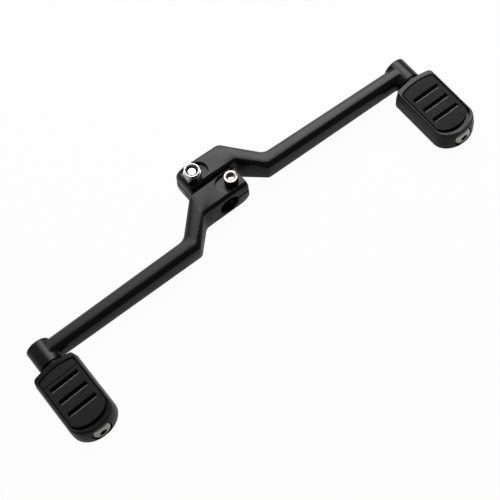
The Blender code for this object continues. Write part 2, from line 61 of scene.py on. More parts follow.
# The two levers are one steel forging used twice, the second turned half a turn about the shaft.
# Each is a split clamp, a crank and a tapering arm, trimmed and blasted, then painted gloss black.
# It is modelled with the shaft's axis at the origin and the arm along +X, then set on each side.
CLAMP_WIDTH = 0.0185
CLAMP_HEIGHT = 0.0232
CLAMP_FREE_END = 0.0170
CLAMP_SPACING = 0.0009
CLAMP_EDGE_SIZE = 0.0022
NOSE_RADIUS_NUT_SIDE = 0.0080
NOSE_RADIUS_HEAD_SIDE = 0.0040
NOSE_SIDE_RADIUS = 0.0015
CRANK_START = {"inboard": 0.0183, "outboard": 0.0205}
CRANK_END = {"inboard": 0.0413, "outboard": 0.0356}
BEND_RADII = {"clamp inboard": 0.0040, "clamp outboard": 0.0060,
              "arm inboard": 0.0090, "arm outboard": 0.0045}
ARM_LENGTH = 0.1576
ARM_OFFSET = 0.0195
ARM_WIDTH = {"crank": 0.0120, "boss": 0.0114}
ARM_HEIGHT = {"crank": 0.0184, "boss": 0.0162}
ARM_EDGE_SIZE = 0.0033
EDGE_FLATNESS = 0.75
ARM_DROOP = math.radians(1.83)
HEEL_PEG_ROLL = math.radians(2)
TOE_PEG_ROLL = math.radians(5)
BOSS_RADIUS = 0.0087
BOSS_INBOARD = -0.0116
BOSS_LENGTH = 0.0170
BOSS_EDGE = 0.0008
FLARE_INBOARD = 0.0014
FLARE_OUTBOARD = 0.0024
FLARE_STOP = 0.0020
BOLT_HOLE_RADIUS = 0.0043
BORE_RADIUS = 0.0079
SERRATION_DEPTH = 0.0006
SERRATIONS = 36
SLIT_HEIGHT = 0.0018
SLIT_OFFSET = 0.0012
SLIT_START = 0.9 * BORE_RADIUS
POCKET_DEPTH = 0.0027
POCKET_RADIUS = 0.0070
POCKET_CENTRE = 0.0044
POCKET_FLOOR_FILLET = 0.0003
SCREW_OFFSET = 0.0093
SCREW_RADIUS = 0.003175
CLEARANCE = 0.0003
half_width = CLAMP_WIDTH / 2
half_height = CLAMP_HEIGHT / 2
pocket_floor = half_height - POCKET_DEPTH

# How far a cutting tool runs past a face, the turn that points one outboard, how near a point must
# be to be picked by its place, and how finely the forging's curves are drawn.
OVERRUN = 0.0020
FACING_OUTBOARD = (math.pi / 2, 0, 0)
NEAR = 1e-5
Y, Z = 1, 2
CORNER_STEPS = 10
NOSE_STEPS = 16
BEND_STEPS = 8
FLARE_STEPS = 30


def use(obj):
    """Makes one object the selected and active one."""
    bpy.ops.object.select_all(action="DESELECT")
    obj.select_set(True)
    bpy.context.view_layer.objects.active = obj


def transform_points(obj, test, transform, **settings):
    """Runs a transform operator on the vertices whose places pass a test."""
    use(obj)
    bpy.ops.object.mode_set(mode="EDIT")
    bpy.ops.mesh.select_mode(type="VERT")
    bpy.ops.mesh.select_all(action="DESELECT")
    mesh = bmesh.from_edit_mesh(obj.data)
    for vertex in mesh.verts:
        vertex.select_set(test(vertex.co))
    mesh.select_flush(True)
    bmesh.update_edit_mesh(obj.data)
    transform(**settings)
    bpy.ops.object.mode_set(mode="OBJECT")


def round_edges(obj, test, radius, segments=4):
    """Bevels the edges whose two end points pass a test."""
    use(obj)
    bpy.ops.object.mode_set(mode="EDIT")
    bpy.ops.mesh.select_mode(type="EDGE")
    bpy.ops.mesh.select_all(action="DESELECT")
    mesh = bmesh.from_edit_mesh(obj.data)
    for edge in mesh.edges:
        if test(*(vertex.co for vertex in edge.verts)):
            edge.select_set(True)
    bmesh.update_edit_mesh(obj.data)
    bpy.ops.mesh.bevel(offset=radius, segments=segments, affect="EDGES")
    bpy.ops.object.mode_set(mode="OBJECT")


def on_plane(axis, level):
    """The test for edges that lie in a plane across one axis."""
    return lambda a, b: abs(a[axis] - level) < NEAR and abs(b[axis] - level) < NEAR


def apply_modifier(obj, kind, **settings):
    """Adds a modifier with its settings and applies it."""
    use(obj)
    modifier = obj.modifiers.new(kind.lower(), kind)
    for key, value in settings.items():
        setattr(modifier, key, value)
    bpy.ops.object.modifier_apply(modifier=modifier.name)


def combine(obj, tool, operation="DIFFERENCE"):
    """Joins a tool to an object or cuts it away, and removes the tool."""
    apply_modifier(obj, "BOOLEAN", object=tool, operation=operation, solver="EXACT")
    bpy.data.objects.remove(tool, do_unlink=True)


def mark_faces(obj, name, inside):
    """Writes 1 on the faces whose corners all pass a test, for the material to read."""
    values = obj.data.attributes.new(name, "FLOAT", "FACE").data
    for face in obj.data.polygons:
        values[face.index].value = float(all(inside(obj.data.vertices[i].co) for i in face.vertices))


def shade(obj, angle=40):
    """Shades an object smooth but for the edges that turn by more than an angle."""
    use(obj)
    bpy.ops.object.shade_smooth_by_angle(angle=math.radians(angle))


def drum(radius, depth, location, rotation=(0, 0, 0), vertices=64):
    """A round tool or blank that starts at a location and runs along its own +Z."""
    turn = Matrix.Translation(location) @ Matrix.Rotation(rotation[0], 4, "X")
    middle = turn @ Vector((0, 0, depth / 2))
    bpy.ops.mesh.primitive_cylinder_add(vertices=vertices, radius=radius, depth=depth,
                                        location=middle, rotation=rotation)
    bpy.ops.object.transform_apply(location=True, rotation=True, scale=True)
    return bpy.context.object


def ring_step(across, up, teeth):
    """Counts round a ring that has two vertices for each tooth, and gives 0 or 1 in turn."""
    return round(math.atan2(up, across) * teeth / math.pi) % 2


# The forging's outside: sections stood along the lever and skinned, as the die's own parting
# sections run. Each is a rectangle with soft corners between two points of the plan.

def round_corner(before, corner, after, radius):
    """Points along the arc that rounds a corner of the plan."""
    before, corner, after = Vector(before), Vector(corner), Vector(after)
    to_before = (before - corner).normalized()
    to_after = (after - corner).normalized()
    half_angle = to_before.angle(to_after) / 2
    centre = corner + (to_before + to_after).normalized() * radius / math.sin(half_angle)
    start = corner + to_before * radius / math.tan(half_angle) - centre
    end = corner + to_after * radius / math.tan(half_angle) - centre
    sweep = start.angle_signed(end)
    turns = [Matrix.Rotation(-sweep * step / BEND_STEPS, 2) for step in range(BEND_STEPS + 1)]
    return [centre + turn @ start for turn in turns]


def plan_edge(side, name):
    """One edge of the lever in plan: its bend at the clamp, its bend at the arm and its end."""
    reach = ARM_LENGTH - CRANK_END["inboard"]
    taper = (ARM_WIDTH["boss"] - ARM_WIDTH["crank"]) / reach
    end_width = ARM_WIDTH["crank"] + taper * (CRANK_END[name] - CRANK_END["inboard"])
    points = [(0, side * half_width), (CRANK_START[name], side * half_width),
              (CRANK_END[name], side * end_width / 2 - ARM_OFFSET),
              (ARM_LENGTH, side * ARM_WIDTH["boss"] / 2 - ARM_OFFSET)]
    clamp_bend = round_corner(*points[0:3], BEND_RADII["clamp " + name])
    arm_bend = round_corner(*points[1:4], BEND_RADII["arm " + name])
    return clamp_bend, arm_bend, Vector(points[3])


def edge_profile(reach):
    """Draws an arc's sine or cosine in towards a flat chamfer, as the die's edges are cut."""
    return (1 - EDGE_FLATNESS) * reach + EDGE_FLATNESS * reach * abs(reach)


def stand_section(mesh, inboard, outboard, top, bottom, radius):
    """A ring of vertices: a soft cornered rectangle on the line between two points of the plan."""
    middle, half = (inboard + outboard) / 2, (inboard - outboard) / 2
    share = radius / half.length
    ring = []
    for across, level, quarter in ((1, top, 0), (-1, top, 1), (-1, bottom, 2), (1, bottom, 3)):
        centre_level = level - radius if quarter < 2 else level + radius
        for step in range(CORNER_STEPS + 1):
            angle = math.pi / 2 * (quarter + step / CORNER_STEPS)
            point = middle + half * (across * (1 - share) + share * edge_profile(math.cos(angle)))
            height = centre_level + radius * edge_profile(math.sin(angle))
            ring.append(mesh.verts.new((point.x, point.y, height)))
    return ring


def arc_fall(distance, radius):
    """How far a quarter arc has fallen away from its flat at a distance from its end."""
    return radius - math.sqrt(radius ** 2 - max(0.0, radius - distance) ** 2)


def flare_ring(ring, middle, half):
    """Curves a section's sides out to meet the boss, as the forging's fillet does."""
    for vertex in ring:
        boss_side = ARM_LENGTH - math.sqrt(max(BOSS_RADIUS ** 2 - vertex.co.z ** 2, 0.0))
        radius = FLARE_INBOARD if vertex.co.y > middle else FLARE_OUTBOARD
        flare = arc_fall(max(boss_side - vertex.co.x, 0.0), radius)
        vertex.co.y = middle + (vertex.co.y - middle) * (half + flare) / half


mesh = bmesh.new()
rings = []
for step in range(NOSE_STEPS + 1):
    from_tip = NOSE_RADIUS_NUT_SIDE * (1 - math.cos(math.pi / 2 * step / NOSE_STEPS))
    across = half_width - arc_fall(from_tip, NOSE_SIDE_RADIUS)
    top = half_height - arc_fall(from_tip, NOSE_RADIUS_NUT_SIDE)
    bottom = arc_fall(from_tip, NOSE_RADIUS_HEAD_SIDE) - half_height
    rings.append(stand_section(mesh, Vector((from_tip - CLAMP_FREE_END, across)),
                               Vector((from_tip - CLAMP_FREE_END, -across)),
                               top, bottom, CLAMP_EDGE_SIZE))
inboard_edge, outboard_edge = plan_edge(1, "inboard"), plan_edge(-1, "outboard")
crank_height = ARM_HEIGHT["crank"] / 2
for inboard, outboard in zip(inboard_edge[0], outboard_edge[0]):
    rings.append(stand_section(mesh, inboard, outboard, half_height, -half_height, CLAMP_EDGE_SIZE))
for inboard, outboard in zip(inboard_edge[1], outboard_edge[1]):
    rings.append(stand_section(mesh, inboard, outboard, crank_height, -crank_height, ARM_EDGE_SIZE))
flare_start = ARM_LENGTH - BOSS_RADIUS - FLARE_OUTBOARD
for step in range(FLARE_STEPS + 1):
    reach = flare_start + (BOSS_RADIUS + FLARE_OUTBOARD - FLARE_STOP) * step / FLARE_STEPS
    along = (reach - CRANK_END["inboard"]) / (ARM_LENGTH - CRANK_END["inboard"])
    inboard = inboard_edge[1][-1].lerp(inboard_edge[2], along)
    outboard = outboard_edge[1][-1].lerp(outboard_edge[2], along)
    height = crank_height + (ARM_HEIGHT["boss"] / 2 - crank_height) * along
    ring = stand_section(mesh, inboard, outboard, height, -height, ARM_EDGE_SIZE)
    flare_ring(ring, (inboard.y + outboard.y) / 2, (inboard.y - outboard.y) / 2)
    rings.append(ring)
for first, second in zip(rings, rings[1:]):
    for i in range(len(first)):
        j = (i + 1) % len(first)
        mesh.faces.new((first[i], first[j], second[j], second[i]))
mesh.faces.new(rings[0])
mesh.faces.new(rings[-1])
bmesh.ops.recalc_face_normals(mesh, faces=mesh.faces)
forging = bpy.data.objects.new("lever_forging", bpy.data.meshes.new("lever_forging"))
mesh.to_mesh(forging.data)
mesh.free()
bpy.context.collection.objects.link(forging)

# The boss is forged on the arm's end, drilled and faced, with its inboard rim broken.
boss = drum(BOSS_RADIUS, BOSS_LENGTH, (ARM_LENGTH, BOSS_INBOARD, 0), FACING_OUTBOARD, 96)
round_edges(boss, on_plane(Y, BOSS_INBOARD), BOSS_EDGE)
combine(forging, boss, "UNION")
combine(forging, drum(BOLT_HOLE_RADIUS, BOSS_LENGTH + 2 * OVERRUN,
                      (ARM_LENGTH, BOSS_INBOARD + OVERRUN, 0), FACING_OUTBOARD))

# The clamp is machined: a serrated bore, a slit from it to the free end, and a flat pocket round
# the screw on both faces, each with a milled floor fillet.
bore = drum(BORE_RADIUS, CLAMP_WIDTH + 2 * OVERRUN, (0, half_width + OVERRUN, 0),
            FACING_OUTBOARD, 2 * SERRATIONS)
crest_scale = (BORE_RADIUS - SERRATION_DEPTH) / BORE_RADIUS
transform_points(bore, lambda p: ring_step(p.x, p.z, SERRATIONS) == 0, bpy.ops.transform.resize,
                 value=(crest_scale, 1, crest_scale), center_override=(0, 0, 0))
combine(forging, bore)
bpy.ops.mesh.primitive_cube_add(
    size=1, location=(-CLAMP_FREE_END / 2 - OVERRUN, 0, -SLIT_OFFSET),
    scale=(CLAMP_FREE_END + 2 * OVERRUN, CLAMP_WIDTH + 2 * OVERRUN, SLIT_HEIGHT))
combine(forging, bpy.context.object)
cut_depth = POCKET_DEPTH + OVERRUN
for up in (1, -1):
    bpy.ops.mesh.primitive_cylinder_add(
        vertices=96, radius=POCKET_RADIUS, depth=cut_depth,
        location=(-POCKET_CENTRE, 0, up * (pocket_floor + cut_depth / 2)))
    bpy.ops.object.transform_apply(location=True, rotation=True, scale=True)
    pocket = bpy.context.object
    transform_points(pocket, lambda p: p.x < -POCKET_CENTRE - NEAR, bpy.ops.transform.translate,
                     value=(-CLAMP_FREE_END, 0, 0))
    round_edges(pocket, on_plane(Z, up * pocket_floor), POCKET_FLOOR_FILLET)
    combine(forging, pocket)
combine(forging, drum(SCREW_RADIUS + CLEARANCE, CLAMP_HEIGHT + 2 * OVERRUN,
                      (-SCREW_OFFSET, 0, -half_height - OVERRUN)))


def in_slit(p):
    """Whether a point is on the saw cut walls of the slit, past the bore, which are given painted shade.
    """
    return p.x < -SLIT_START and abs(p.z + SLIT_OFFSET) < SLIT_HEIGHT / 2 + NEAR


mark_faces(forging, "bare_steel", lambda p: math.hypot(p.x, p.z) < BORE_RADIUS + NEAR)
# The slit's walls are marked for painted shade: they lose their gloss and show as dark.
mark_faces(forging, "slit_painted_shade", in_slit)
shade(forging, 30)

# Where each side's pieces go: along the shaft by half the spacing and turned about it, and for the
# pegs also out to the boss and turned about their own screw.
clamp_middle = (CLAMP_SPACING + CLAMP_WIDTH) / 2
to_boss = Matrix.Translation((ARM_LENGTH, 0, 0))
side_places = {
    "heel": Matrix.Translation((0, clamp_middle, 0)) @ Matrix.Rotation(ARM_DROOP, 4, "Y"),
    "toe": Matrix.Translation((0, -clamp_middle, 0)) @ Matrix.Rotation(math.pi - ARM_DROOP, 4, "Y"),
}
peg_places = {
    "heel": side_places["heel"] @ to_boss @ Matrix.Rotation(-HEEL_PEG_ROLL, 4, "Y"),
    "toe": side_places["toe"] @ to_boss @ Matrix.Rotation(math.pi - TOE_PEG_ROLL, 4, "Y"),
}


def fit_sides(master, node, material, places):
    """Copies a modelled piece to its sides, places it in its mesh and stands it for its CAD node."""
    for side, place in places.items():
        use(master)
        bpy.ops.object.duplicate()
        piece = bpy.context.object
        piece.name = f"{side}_{node}_finished"
        piece.data.name = piece.name
        piece.data.materials.clear()
        piece.data.materials.append(material)
        piece.matrix_world = place
        bpy.ops.object.transform_apply(location=True, rotation=True, scale=True)
        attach(piece, "root")
        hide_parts(f"{side}_{node}")
    bpy.data.objects.remove(master, do_unlink=True)


def linear(colour):
    """A hex colour as painted, turned to the linear values that the shader takes."""
    channels = [int(colour[i:i + 2], 16) / 255 for i in (1, 3, 5)]
    return (*[c / 12.92 if c <= 0.04045 else ((c + 0.055) / 1.055) ** 2.4 for c in channels], 1.0)


def feed(node, socket, source):
    """Links a node's output to a socket of another."""
    node.id_data.links.new(source, node.inputs[socket])


def add_node(owner, kind, settings=(), links=()):
    """Adds a node to a material or world, with its settings and what feeds its sockets."""
    node = owner.node_tree.nodes.new(kind)
    for key, value in dict(settings).items():
        if isinstance(key, str) and hasattr(node, key):
            setattr(node, key, value)
        else:
            node.inputs[key].default_value = value
    for socket, source in dict(links).items():
        feed(node, socket, source)
    return node


def new_finish(name, colour, **sockets):
    """A material with its even values set on the shader itself."""
    material = bpy.data.materials.new(name)
    material.use_nodes = True
    shader = material.node_tree.nodes["Principled BSDF"]
    shader.inputs["Base Color"].default_value = linear(colour)
    for socket, value in sockets.items():
        shader.inputs[socket.replace("_", " ")].default_value = value
    return material, shader


# The part of a noise's range that most of it lies in, and a colour mix's sockets by number,
# because their names stand for several.
NOISE_SPAN = {"From Min": 0.35, "From Max": 0.65}
COLOUR_A, COLOUR_B, MIXED_COLOUR = 6, 7, 2

# Gloss black stoving enamel over a blasted forging: a faint orange peel every 2 mm or so, and
# patches where the film dried slightly duller. The bore is bare steel. The slit's walls are given
# no gloss, so that they are as dark as in the photo.
PAINT_COLOUR = "#101011"
BARE_STEEL_COLOUR = "#96928C"
PEEL_SIZE = 0.0020
DULL_PATCH_SIZE = 0.018
paint, shader = new_finish("black_stoving_enamel", PAINT_COLOUR, IOR=1.29)
where = add_node(paint, "ShaderNodeTexCoord").outputs["Object"]
peel = add_node(paint, "ShaderNodeTexNoise", {"Scale": 1 / PEEL_SIZE, "Detail": 1.0}, {"Vector": where})
film = add_node(paint, "ShaderNodeBump", {"Strength": 0.05, "Distance": 0.0001},
                {"Height": peel.outputs["Fac"]})
feed(shader, "Normal", film.outputs["Normal"])
patches = add_node(paint, "ShaderNodeTexNoise", {"Scale": 1 / DULL_PATCH_SIZE, "Detail": 3.0},
                   {"Vector": where})
dulling = add_node(paint, "ShaderNodeMapRange", {**NOISE_SPAN, "To Min": 0.21, "To Max": 0.28},
                   {"Value": patches.outputs["Fac"]})
feed(shader, "Roughness", dulling.outputs["Result"])
bare = add_node(paint, "ShaderNodeAttribute", {"attribute_name": "bare_steel"})
tone = add_node(paint, "ShaderNodeMix",
                {"data_type": "RGBA", COLOUR_A: linear(PAINT_COLOUR),
                 COLOUR_B: linear(BARE_STEEL_COLOUR)}, {0: bare.outputs["Fac"]})
feed(shader, "Base Color", tone.outputs[MIXED_COLOUR])
feed(shader, "Metallic", bare.outputs["Fac"])
# Painted shade: the slit's walls get no gloss, standing in for the shade inside the narrow slit.
slit_painted_shade = add_node(paint, "ShaderNodeAttribute", {"attribute_name": "slit_painted_shade"})
gloss = add_node(paint, "ShaderNodeMapRange", {"To Min": 0.5, "To Max": 0.0},
                 {"Value": slit_painted_shade.outputs["Fac"]})
feed(shader, "Specular IOR Level", gloss.outputs["Result"])
fit_sides(forging, "lever", paint, side_places)


# The clamp screws are quarter inch socket head cap screws, cold headed, rolled and bright plated.
# The heel's goes in from below and the toe's from above.
SCREW_HEAD_RADIUS = 0.00476
SCREW_HEAD_HEIGHT = 0.00635
SCREW_HEAD_EDGE = 0.0003
SCREW_EDGE = 0.00008
SOCKET_ACROSS_FLATS = 0.00476
SOCKET_DEPTH = 0.0030
SOCKET_MOUTH = 0.0033
SOCKET_MOUTH_DEPTH = 0.0006
KNURLS = 44
KNURL_DEPTH = 0.00012
THREAD_PITCH = 0.00127
THREAD_DEPTH = 0.00055
THREAD_LENGTH = 0.0150
NUT_HEIGHT = 0.0079
SCREW_END_BELOW_NUT_TOP = 0.0020
screw_length = 2 * (pocket_floor + CLEARANCE) + NUT_HEIGHT - SCREW_END_BELOW_NUT_TOP


def turn_up(profile, vertices=64):
    """Draws a round piece up from a disc, through (radius, height) stations."""
    radius, height = profile[0]
    bpy.ops.mesh.primitive_circle_add(vertices=vertices, radius=radius, fill_type="NGON",
                                      location=(0, 0, height))
    piece = bpy.context.object
    bpy.ops.object.transform_apply(location=True, rotation=True, scale=True)
    bpy.ops.object.mode_set(mode="EDIT")
    bpy.ops.mesh.select_all(action="SELECT")
    for next_radius, next_height in profile[1:]:
        bpy.ops.mesh.extrude_region_move(TRANSFORM_OT_translate={"value": (0, 0, next_height - height)})
        scale = next_radius / radius
        bpy.ops.transform.resize(value=(scale, scale, 1), center_override=(0, 0, next_height))
        radius, height = next_radius, next_height
    bpy.ops.mesh.select_all(action="SELECT")
    bpy.ops.mesh.normals_make_consistent(inside=False)
    bpy.ops.object.mode_set(mode="OBJECT")
    return piece


def soften(obj, width, segments=3, angle=40):
    """Rounds every edge that turns by more than an angle."""
    apply_modifier(obj, "BEVEL", limit_method="ANGLE", angle_limit=math.radians(angle), width=width,
                   segments=segments, harden_normals=False)


def hex_tool(across_flats, bottom, top):
    """A hexagonal tool that stands along Z between two heights."""
    bpy.ops.mesh.primitive_cylinder_add(vertices=6, radius=across_flats / math.sqrt(3),
                                        depth=top - bottom, location=(0, 0, (top + bottom) / 2))
    return bpy.context.object


def set_down(obj, location, rotation=(0, 0, 0)):
    """Puts a finished round piece where it belongs on its side's own axes."""
    use(obj)
    obj.location = location
    obj.rotation_euler = rotation
    bpy.ops.object.transform_apply(location=True, rotation=True, scale=True)


stations = [(SCREW_HEAD_RADIUS - SCREW_HEAD_EDGE, -SCREW_HEAD_HEIGHT),
            (SCREW_HEAD_RADIUS, SCREW_HEAD_EDGE - SCREW_HEAD_HEIGHT),
            (SCREW_HEAD_RADIUS, -SCREW_HEAD_EDGE), (SCREW_HEAD_RADIUS - SCREW_HEAD_EDGE, 0.0),
            (SCREW_RADIUS, 0.0)]
crest = screw_length - THREAD_LENGTH
while crest < screw_length - THREAD_PITCH:
    stations.append((SCREW_RADIUS, crest))
    stations.append((SCREW_RADIUS - THREAD_DEPTH, crest + THREAD_PITCH / 2))
    crest += THREAD_PITCH
stations.append((SCREW_RADIUS, crest))
stations.append((SCREW_RADIUS - THREAD_DEPTH, screw_length))
screw = turn_up(stations, 2 * KNURLS)


def in_knurl_valley(p):
    """Whether a point is a valley of the knurl round the screw's head."""
    return math.hypot(p.x, p.y) > SCREW_HEAD_RADIUS - NEAR and ring_step(p.x, p.y, KNURLS) == 1


knurl_scale = (SCREW_HEAD_RADIUS - KNURL_DEPTH) / SCREW_HEAD_RADIUS
transform_points(screw, in_knurl_valley, bpy.ops.transform.resize,
                 value=(knurl_scale, knurl_scale, 1), center_override=(0, 0, 0))
combine(screw, turn_up([(SOCKET_MOUTH + OVERRUN / 2, -SCREW_HEAD_HEIGHT - OVERRUN),
                        (SOCKET_MOUTH, -SCREW_HEAD_HEIGHT),
                        (SOCKET_ACROSS_FLATS / 2, SOCKET_MOUTH_DEPTH - SCREW_HEAD_HEIGHT)], 96))
combine(screw, hex_tool(SOCKET_ACROSS_FLATS, -SCREW_HEAD_HEIGHT - OVERRUN,
                        SOCKET_DEPTH - SCREW_HEAD_HEIGHT))
soften(screw, SCREW_EDGE, 2, 50)
# The head's end face is marked for painted shade that dims its highlight.
mark_faces(screw, "end_face_painted_shade", lambda p: p.z < NEAR - SCREW_HEAD_HEIGHT)
shade(screw, 25)
set_down(screw, (-SCREW_OFFSET, 0, -pocket_floor - CLEARANCE))

# Bright plate, close to a mirror and slightly warm, with very fine polishing lines. The clamp screw's end
# face and the peg screws' sockets are toned darker, to match the photo: painted shade in the sockets, and
# on the end face a painted shade that dims its highlight.
PLATE_COLOUR = "#A6A39D"
SHADED_SOCKET_COLOUR = "#3A342E"
END_FACE_PAINTED_SHADE = 0.42
POLISH_LINE_SIZE = 0.0004
plate, shader = new_finish("bright_chrome_plate", PLATE_COLOUR, Metallic=1.0)
where = add_node(plate, "ShaderNodeTexCoord").outputs["Object"]
polish = add_node(plate, "ShaderNodeTexNoise", {"Scale": 1 / POLISH_LINE_SIZE, "Detail": 2.0},
                  {"Vector": where})
sheen = add_node(plate, "ShaderNodeMapRange", {**NOISE_SPAN, "To Min": 0.09, "To Max": 0.17},
                 {"Value": polish.outputs["Fac"]})
feed(shader, "Roughness", sheen.outputs["Result"])
in_socket = add_node(plate, "ShaderNodeAttribute", {"attribute_name": "in_socket"})
# Painted shade: the end face is toned partway towards the dark socket colour, and the peg screws' sockets
# fully.
turned = add_node(plate, "ShaderNodeAttribute", {"attribute_name": "end_face_painted_shade"})
duller = add_node(plate, "ShaderNodeMath", {"operation": "MULTIPLY_ADD", 1: END_FACE_PAINTED_SHADE},
                  {0: turned.outputs["Fac"], 2: in_socket.outputs["Fac"]})
tone = add_node(plate, "ShaderNodeMix",
                {"data_type": "RGBA", COLOUR_A: linear(PLATE_COLOUR),
                 COLOUR_B: linear(SHADED_SOCKET_COLOUR)}, {0: duller.outputs[0]})
feed(shader, "Base Color", tone.outputs[MIXED_COLOUR])
fit_sides(screw, "clamp_screw", plate, side_places)


# The lock nuts: a zinc plated hexagon with a round collar, rolled over a nylon ring that grips
# the screw's thread.
NUT_ACROSS_FLATS = 0.0111
NUT_HEX_HEIGHT = 0.0054
NUT_CHAMFER = 0.0008
NUT_EDGE = 0.00012
COLLAR_RADIUS = 0.0054
COLLAR_ROLL = ((0.0, 0.0005), (0.00008, 0.00022), (0.00025, 0.00003))
LIP_RADIUS = 0.0046
LIP_THICKNESS = 0.0004
INSERT_SEAT_RADIUS = 0.0049
INSERT_SEAT_DEPTH = 0.0026
nut_bore = SCREW_RADIUS + CLEARANCE
nut_corner = NUT_ACROSS_FLATS / math.sqrt(3)
collar_top = NUT_HEIGHT - COLLAR_ROLL[-1][1]
shoulder = NUT_HEIGHT - INSERT_SEAT_DEPTH
nut = turn_up([
    (nut_corner - NUT_CHAMFER, 0.0), (nut_corner + CLEARANCE, NUT_CHAMFER / 2),
    (nut_corner + CLEARANCE, NUT_HEX_HEIGHT - NUT_CHAMFER / 2),
    (nut_corner - NUT_CHAMFER, NUT_HEX_HEIGHT),
], 96)
combine(nut, hex_tool(NUT_ACROSS_FLATS, -OVERRUN, NUT_HEIGHT + OVERRUN), "INTERSECT")
collar = turn_up([
    (COLLAR_RADIUS, NUT_HEX_HEIGHT - NUT_CHAMFER),
    *((COLLAR_RADIUS - inset, NUT_HEIGHT - drop) for inset, drop in COLLAR_ROLL),
    (LIP_RADIUS, collar_top), (LIP_RADIUS, NUT_HEIGHT - LIP_THICKNESS),
    (INSERT_SEAT_RADIUS, NUT_HEIGHT - LIP_THICKNESS), (INSERT_SEAT_RADIUS, shoulder),
    (nut_bore, shoulder), (nut_bore, shoulder - LIP_THICKNESS),
], 96)
combine(nut, collar, "UNION")
combine(nut, drum(nut_bore, NUT_HEIGHT + 2 * OVERRUN, (0, 0, -OVERRUN)))
soften(nut, NUT_EDGE, 2, 25)
shade(nut)
set_down(nut, (-SCREW_OFFSET, 0, pocket_floor + CLEARANCE))

# Bright zinc: a cool silver, softer than the chrome, with a faint mottle from the bath.
MOTTLE_SIZE = 0.0012
zinc, shader = new_finish("bright_zinc_plate", "#A9ABB1", Metallic=1.0)
where = add_node(zinc, "ShaderNodeTexCoord").outputs["Object"]
mottle = add_node(zinc, "ShaderNodeTexNoise", {"Scale": 1 / MOTTLE_SIZE, "Detail": 3.0},
                  {"Vector": where})
softness = add_node(zinc, "ShaderNodeMapRange", {**NOISE_SPAN, "To Min": 0.16, "To Max": 0.30},
                    {"Value": mottle.outputs["Fac"]})
feed(shader, "Roughness", softness.outputs["Result"])
fit_sides(nut, "lock_nut", zinc, side_places)

# The nylon ring is pressed in under the lip, and its bore leads in where the screw enters.
INSERT_LEAD_IN = 0.0003
INSERT_LEAD_IN_DEPTH = 0.0005
INSERT_EDGE = 0.00012
ring_low = shoulder + CLEARANCE
ring_high = NUT_HEIGHT - LIP_THICKNESS - CLEARANCE
ring_outside = INSERT_SEAT_RADIUS - CLEARANCE
insert = turn_up([(ring_outside, ring_low), (ring_outside, ring_high),
                  (nut_bore + INSERT_LEAD_IN, ring_high), (nut_bore, ring_high - INSERT_LEAD_IN_DEPTH),
                  (nut_bore, ring_low + CLEARANCE)])
combine(insert, drum(nut_bore, NUT_HEIGHT, (0, 0, 0)))
soften(insert, INSERT_EDGE, 2)
shade(insert, 35)
set_down(insert, (-SCREW_OFFSET, 0, pocket_floor + CLEARANCE))

# Dark blue violet nylon, softly shiny, slightly uneven from moulding.
FLOW_MARK_SIZE = 0.0008
nylon, shader = new_finish("dyed_nylon", "#2B2A44", IOR=1.53)
where = add_node(nylon, "ShaderNodeTexCoord").outputs["Object"]
flow = add_node(nylon, "ShaderNodeTexNoise", {"Scale": 1 / FLOW_MARK_SIZE, "Detail": 2.0},
                {"Vector": where})
sheen = add_node(nylon, "ShaderNodeMapRange", {**NOISE_SPAN, "To Min": 0.30, "To Max": 0.48},
                 {"Value": flow.outputs["Fac"]})
feed(shader, "Roughness", sheen.outputs["Result"])
fit_sides(insert, "nut_insert", nylon, side_places)


# The peg casings are die cast shells, open on top for the tread, painted satin black. Each has a
# rounded underside and a round outer end that leans in towards the rim. A screw through the casing
# holds it on the lever's boss, over a washer let into its inner end.
PEG_HALF_WIDTH = 0.0165
PEG_INNER = -0.0302
PEG_TIP = -0.0860
PEG_TOP = 0.0080
PEG_BOTTOM = -0.0086
PEG_ROUND_END = 0.0125
PEG_CROWN = 0.0022
PEG_CORNER = 0.0030
PEG_BOTTOM_RADIUS = 0.0030
PEG_TOP_RADIUS = 0.0005
PEG_UPRIGHT_TOP = 0.0010
PEG_SIDE_LEAN = 0.0012
PEG_TIP_LEAN = 0.0016
RIM_AT_SIDES = 0.0012
RIM_AT_INNER_END = 0.0038
RIM_AT_OUTER_END = 0.0051
TREAD_RECESS = 0.0032
TREAD_ROUND_END = 0.0085
TREAD_CORNER = 0.0026
WASHER_THICKNESS = 0.0015
WASHER_RECESS_RADIUS = 0.0078
BOLT_SEAT = -0.0817
BOLT_HOLE_TOOL_LENGTH = 0.0600
COUNTERBORE_RADIUS = 0.00735
COUNTERBORE_TOOL_LENGTH = 0.0100
CROWN_STEPS = 24
PEG_CORNER_STEPS = 8
ROUND_END_STEPS = 48
boss_face = BOSS_INBOARD - BOSS_LENGTH
peg_seat = boss_face - WASHER_THICKNESS - 2 * CLEARANCE


